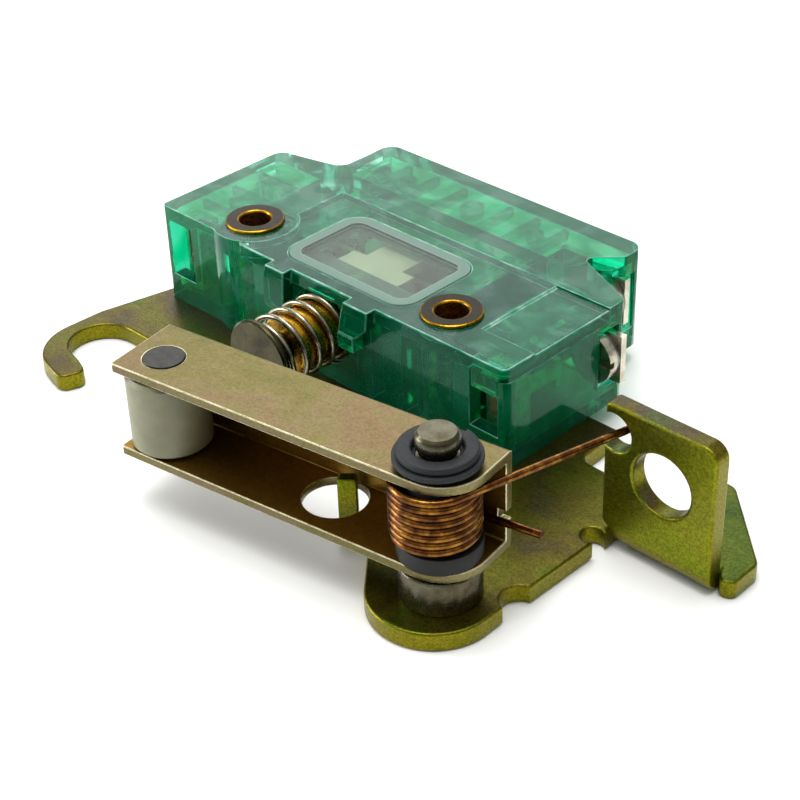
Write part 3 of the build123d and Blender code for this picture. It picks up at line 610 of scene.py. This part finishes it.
tabShape = {
    "bendStart": 23.9, "bendRadius": 2.7, "bendLength": 2.28, "bendSteps": 10, "foot": -1.6,
    "footLeft": 8.4, "footRight": 20.95, "footInset": 0.02, "top": 19.9, "left": 5.6, "right": 21.0,
    "rightRound": 2.0, "leftRound": 0.7, "shoulder": 3.4, "shoulderRound": 0.8,
    "neck": [(7.4, 1.5, 0.8), (8.4, 0.6, 0.5)],
    "hole": ((13.75, 12.0), 4.0), "notch": ((6.8, 16.1), 2.45), "notchSteps": 18, "rounding": 0.42,
}
fingerShape = {
    "place": (-15.8, 1.15), "outward": (-0.749, -0.663), "halfWidth": 0.7, "rounding": 0.18,
    "outline": [
        (-3.7, 0.05, 0), (1.15, 0.05, 0), (1.15, 9.9, 0.5), (-1.15, 9.9, 0.5), (-1.15, 2.45, 0.6),
        (-3.7, 2.45, 0)],
}
planCorners = arcPoints(*plateShape["lobe"])
for relief in plateShape["reliefs"]:
    planCorners += arcPoints(*relief)
planCorners += plateShape["wing"] + plateShape["notch"] + plateShape["left"]
planCorners += arcPoints(*plateShape["hook"]) + plateShape["hookTip"]
planCorners += arcPoints(*plateShape["hookSlot"]) + plateShape["front"]
plateOutlines = [roundCorners(planCorners)]
for centre, radius in plateShape["holes"]:
    plateOutlines.append(roundCorners(arcPoints(centre, radius, *fullCircle)))
flatPlate = roundedSheet("flatPlate", plateOutlines, plateShape["thickness"], plateShape["rounding"])


def alongTab(height):
    # flat length that ends up at this height once the tab is bent up
    return tabShape["bendLength"] + height - tabShape["bendRadius"]


notchPlace, notchRadius = tabShape["notch"]
notchSwing = math.degrees(math.acos((notchPlace[0] - tabShape["left"]) / notchRadius))
tabTop = alongTab(tabShape["top"])
tabCorners = [
    (tabShape["footLeft"], tabShape["foot"], 0), (tabShape["footRight"], tabShape["foot"], 0),
    (tabShape["right"], tabTop, tabShape["rightRound"]), (tabShape["left"], tabTop, tabShape["leftRound"]),
]
tabCorners += arcPoints(
    (notchPlace[0], alongTab(notchPlace[1])), notchRadius, 180 - notchSwing, notchSwing - 180,
    tabShape["notchSteps"])
shoulder = (tabShape["left"], alongTab(tabShape["shoulder"]), tabShape["shoulderRound"])
tabCorners += [shoulder, *tabShape["neck"]]
holePlace, holeRadius = tabShape["hole"]
tabOutlines = [
    roundCorners(tabCorners),
    roundCorners(arcPoints((holePlace[0], alongTab(holePlace[1])), holeRadius, *fullCircle)),
]
tab = roundedSheet("tab", tabOutlines, plateShape["thickness"], tabShape["rounding"], 4)
for step in range(tabShape["bendSteps"] + 1):
    cut = tabShape["bendLength"] * step / tabShape["bendSteps"]
    bmesh.ops.bisect_plane(
        tab, geom=tab.verts[:] + tab.edges[:] + tab.faces[:], plane_co=(0, cut, 0), plane_no=(0, 1, 0))
footShare = 1 - 2 * tabShape["footInset"] / plateShape["thickness"]
for vertex in tab.verts:
    along, height = vertex.co.y, vertex.co.z
    radius = tabShape["bendRadius"] - height
    turn = min(max(along / tabShape["bendLength"], 0), 1) * math.pi / 2
    vertex.co.y = tabShape["bendStart"] - radius * math.sin(turn) - min(along, 0)
    vertex.co.z = tabShape["bendRadius"] - radius * math.cos(turn) + max(along - tabShape["bendLength"], 0)
    if along < 0:
        # the foot lies just inside the plate, so that the two faces don't coincide
        vertex.co.z = tabShape["footInset"] + height * footShare
bmesh.ops.reverse_faces(tab, faces=tab.faces)

fingerSide = roundCorners(fingerShape["outline"])
finger = roundedSheet("finger", [fingerSide], 2 * fingerShape["halfWidth"], fingerShape["rounding"])
outward = Vector((*fingerShape["outward"], 0))
sideways = outward.cross(Vector((0, 0, 1)))
for vertex in finger.verts:
    across = vertex.co.z - fingerShape["halfWidth"]
    vertex.co = Vector((*fingerShape["place"], vertex.co.y)) + outward * vertex.co.x + sideways * across
pressedPlate = finishPiece("pressedPlate", [flatPlate, tab, finger], "base", zincPlate, ["base_plate"])
print("pressed plate made")

# Retaining ring: blackened open ring, rounded over, its gap towards the switch case
ringShape = {
    "outer": 4.55, "inner": 2.85, "gapMiddle": 122, "outerGap": 66, "innerGap": 84,
    "outerSteps": 60, "innerSteps": 44, "bottom": 21.34, "thickness": 0.93, "rounding": 0.32,
}
ringCorners = arcPoints(
    (0, 0), ringShape["outer"], ringShape["gapMiddle"] + ringShape["outerGap"] / 2,
    ringShape["gapMiddle"] + 360 - ringShape["outerGap"] / 2, ringShape["outerSteps"])
ringCorners += arcPoints(
    (0, 0), ringShape["inner"], ringShape["gapMiddle"] + 360 - ringShape["innerGap"] / 2,
    ringShape["gapMiddle"] + ringShape["innerGap"] / 2, ringShape["innerSteps"])
ring = roundedSheet("ring", [roundCorners(ringCorners)], ringShape["thickness"], ringShape["rounding"])
bmesh.ops.translate(ring, verts=ring.verts, vec=(0, 0, ringShape["bottom"]))
openRing = finishPiece("openRing", [ring], "base", phosphateBlackAndWasherShade, ["retaining_ring"])
print("retaining ring made")


# Springs copied from their nodes: each has its node's shape at rest
def flexingSpring(name, node, material, alongY=None):
    source = cadNodes[node]
    shape = bmesh.new()
    shape.from_mesh(source.data)
    shape.transform(source.matrix_world)
    if alongY:
        front, back = (limit * millimetre for limit in alongY)
        others = [corner for corner in shape.verts if not front <= corner.co.y <= back]
        bmesh.ops.delete(shape, geom=others, context="VERTS")
    mesh = bpy.data.meshes.new(name)
    shape.to_mesh(mesh)
    shape.free()
    mesh.materials.append(material)
    mesh.set_sharp_from_angle(angle=math.radians(smoothBelow))
    spring = bpy.data.objects.new(name, mesh)
    bpy.context.scene.collection.objects.link(spring)
    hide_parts(node)
    return spring


# heights between which the torsion spring winds up, with its long leg on the plate and its short
# leg on the lever, and the seats, lengths and travels along Y of the straight springs
springMotion = {
    "longLegLow": 16.3, "shortLegHigh": 12.5,
    "plungerSeat": 22.8, "plungerLength": 11.2, "plungerTravel": 1.8,
    "frontSpring": (33.4, 36.1), "backSpring": (36.1, 39.3),
    "backSeat": 39.2, "backLength": 2.6, "bridgeLead": 0.4,
}
torsionCoil = flexingSpring("torsionCoil", "torsion_spring", copperedWire)
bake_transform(torsionCoil)
plungerCoil = flexingSpring("plungerCoil", "plunger_spring", drawnWire)
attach(plungerCoil, "base")
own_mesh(plungerCoil)
frontContactCoil = flexingSpring(
    "frontContactCoil", "contact_springs", drawnWire, springMotion["frontSpring"])
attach(frontContactCoil, "plunger")
backContactCoil = flexingSpring(
    "backContactCoil", "contact_springs", drawnWire, springMotion["backSpring"])
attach(backContactCoil, "plunger")
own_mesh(backContactCoil)
print("springs made")

# Ribs and round bosses moulded under the roof of the case, seen through it as paler and darker lines
ribShape = {
    "low": 13.6, "high": 14.96, "draft": 0.12, "round": 0.12, "sharpFrom": 40, "bossSides": 20,
    # left, right, front, back
    "walls": [
        (-57.6, -56.7, 47.3, 54.5), (-52.2, -51.3, 47.3, 54.5), (-46.8, -45.9, 47.3, 54.5),
        (-38.2, -37.3, 47.3, 54.5), (-33.4, -32.5, 47.3, 54.5), (-28.4, -27.5, 47.3, 54.5),
        (-55.6, -54.8, 36.0, 44.2), (-51.8, -51.0, 36.0, 44.2), (-32.6, -31.8, 36.0, 44.2),
        (-28.8, -28.0, 36.0, 44.2), (-19.2, -11.8, 27.6, 28.4), (-19.2, -11.8, 33.0, 33.8),
        (-19.2, -11.8, 38.2, 39.0), (-71.8, -64.4, 27.6, 28.4), (-71.8, -64.4, 33.0, 33.8),
        (-71.8, -64.4, 38.2, 39.0),
    ],
    # centre and radius
    "bosses": [
        (-54.5, 51.0, 1.5), (-42.0, 51.0, 1.8), (-30.5, 51.0, 1.3), (-15.4, 30.8, 1.2), (-68.2, 30.8, 1.2)],
}


def moulding(outline, look):
    # closed solid from an outline, drawn in towards its lower end and rounded along its edges
    solid = bmesh.new()
    centreX = sum(point[0] for point in outline) / len(outline)
    centreY = sum(point[1] for point in outline) / len(outline)
    rings = []
    for height, drawnIn in ((look["low"], look["draft"]), (look["high"], 0.0)):
        rings.append([
            solid.verts.new((
                x - math.copysign(drawnIn, x - centreX), y - math.copysign(drawnIn, y - centreY), height))
            for x, y in outline])
    lower, upper = rings
    sharpFrom = math.radians(look["sharpFrom"])
    solid.faces.new(list(reversed(lower)))
    solid.faces.new(upper)
    for index in range(len(outline)):
        following = (index + 1) % len(outline)
        solid.faces.new((lower[index], lower[following], upper[following], upper[index]))
    bmesh.ops.bevel(
        solid, geom=[edge for edge in solid.edges if edge.calc_face_angle() > sharpFrom],
        offset=look["round"], segments=2, profile=0.5, affect="EDGES")
    return solid


ribParts = [
    moulding([(left, front), (right, front), (right, back), (left, back)], ribShape)
    for left, right, front, back in ribShape["walls"]]
for bossX, bossY, bossRadius in ribShape["bosses"]:
    turns = [math.tau * step / ribShape["bossSides"] for step in range(ribShape["bossSides"])]
    boss = [(bossX + bossRadius * math.cos(turn), bossY + bossRadius * math.sin(turn)) for turn in turns]
    ribParts.append(moulding(boss, ribShape))
roofRibs = finishPiece("roofRibs", ribParts, "base", greenCase)
print("roof ribs made:", len(ribShape["walls"]) + len(ribShape["bosses"]))

# Studio: pale floor, even sky and three large soft lamps
studio = {
    "floorSize": 6.0, "floorDrop": 0.00002, "floorColour": "f4f4f2", "floorRoughness": 0.9,
    "skyColour": "ffffff", "skyHigh": 0.75, "skyLow": 0.22, "skyTop": 0.9, "skyLeft": 0.35,
    "lamps": [
        # name, place in metres, aim point, size in metres, power in watts
        ("backSoftbox", (-0.50, 0.48, 0.48), (-0.03, 0.02, 0.0), 0.60, 2.2),
        ("overheadSoftbox", (-0.05, 0.0, 0.60), (-0.03, 0.02, 0.0), 0.40, 3.2),
        ("leftSoftbox", (-0.52, -0.32, 0.15), (-0.03, 0.0, 0.01), 0.30, 2.4),
    ],
}
floorMesh = bpy.data.meshes.new("studioFloor")
reach = studio["floorSize"] / 2
floorCorners = [(-reach, -reach, 0), (reach, -reach, 0), (reach, reach, 0), (-reach, reach, 0)]
floorMesh.from_pydata(floorCorners, [], [(0, 1, 2, 3)])
floor = bpy.data.objects.new("studioFloor", floorMesh)
floor.location.z = -studio["floorDrop"]
bpy.context.scene.collection.objects.link(floor)
floorMaterial, floorTree = newMaterial("mattPaper")
floorShader = addNode(floorTree, "ShaderNodeBsdfPrincipled", None, {
    "Base Color": linearColour(studio["floorColour"]), "Roughness": studio["floorRoughness"]})
addNode(floorTree, "ShaderNodeOutputMaterial", None, {"Surface": floorShader.outputs["BSDF"]})
floorMesh.materials.append(floorMaterial)

world = bpy.data.worlds.new("studioSky")
world.use_nodes = True
world.node_tree.nodes.clear()
# brighter overhead than at the horizon, as under a lighting tent
skyPlace = addNode(world.node_tree, "ShaderNodeTexCoord")
skyParts = addNode(world.node_tree, "ShaderNodeSeparateXYZ", None, {0: skyPlace.outputs["Generated"]})
skyFade = addNode(world.node_tree, "ShaderNodeMapRange", {"interpolation_type": "SMOOTHSTEP"}, {
    "Value": skyParts.outputs["Z"], "From Min": 0.0, "From Max": studio["skyTop"],
    "To Min": studio["skyLow"], "To Max": studio["skyHigh"]})
skySide = addNode(world.node_tree, "ShaderNodeMapRange", None, {
    "Value": skyParts.outputs["X"], "From Min": -1.0, "From Max": 1.0,
    "To Min": 1 + studio["skyLeft"], "To Max": 1 - studio["skyLeft"]})
skyGlow = addNode(world.node_tree, "ShaderNodeMath", {"operation": "MULTIPLY"}, {
    0: skyFade.outputs["Result"], 1: skySide.outputs["Result"]})
sky = addNode(world.node_tree, "ShaderNodeBackground", None, {
    "Color": linearColour(studio["skyColour"]), "Strength": skyGlow.outputs[0]})
addNode(world.node_tree, "ShaderNodeOutputWorld", None, {"Surface": sky.outputs["Background"]})
bpy.context.scene.world = world

for lampName, place, aim, size, power in studio["lamps"]:
    lampData = bpy.data.lights.new(lampName, "AREA")
    lampData.shape = "SQUARE"
    lampData.size = size
    lampData.energy = power
    lamp = bpy.data.objects.new(lampName, lampData)
    lamp.location = place
    lamp.rotation_mode = "QUATERNION"
    lamp.rotation_quaternion = (Vector(aim) - Vector(place)).to_track_quat("-Z", "Y")
    bpy.context.scene.collection.objects.link(lamp)
print("studio lit")

# Camera at the photograph's angle: azimuth 0 looks along +Y, roll leans the frame clockwise
shot = {
    "azimuth": 45.614, "elevation": 33.560, "roll": 2.035, "lens": 80.966,
    "aimPoint": (0.0, 0.0, 0.0), "aimRight": 4.6446, "aimDown": 23.3139, "distance": 202.433,
    "sensor": 36, "nearest": 0.01, "farthest": 20,
}
azimuth, elevation, roll = (math.radians(shot[key]) for key in ("azimuth", "elevation", "roll"))
ahead = Vector((
    -math.sin(azimuth) * math.cos(elevation), math.cos(azimuth) * math.cos(elevation), -math.sin(elevation)))
levelRight = Vector((math.cos(azimuth), math.sin(azimuth), 0))
levelDown = ahead.cross(levelRight)
right = levelRight * math.cos(roll) + levelDown * math.sin(roll)
down = levelDown * math.cos(roll) - levelRight * math.sin(roll)
eye = Vector(shot["aimPoint"]) - (
    right * shot["aimRight"] + down * shot["aimDown"] + ahead * shot["distance"]) * millimetre
cameraData = bpy.data.cameras.new("productCamera")
cameraData.sensor_width = shot["sensor"]
cameraData.lens = shot["lens"]
cameraData.clip_start = shot["nearest"]
cameraData.clip_end = shot["farthest"]
camera = bpy.data.objects.new("productCamera", cameraData)
camera.matrix_world = Matrix((
    (right.x, -down.x, -ahead.x, eye.x),
    (right.y, -down.y, -ahead.y, eye.y),
    (right.z, -down.z, -ahead.z, eye.z),
    (0, 0, 0, 1),
))
bpy.context.scene.collection.objects.link(camera)
bpy.context.scene.camera = camera
bpy.context.scene.view_settings.view_transform = "Standard"
print("camera set")
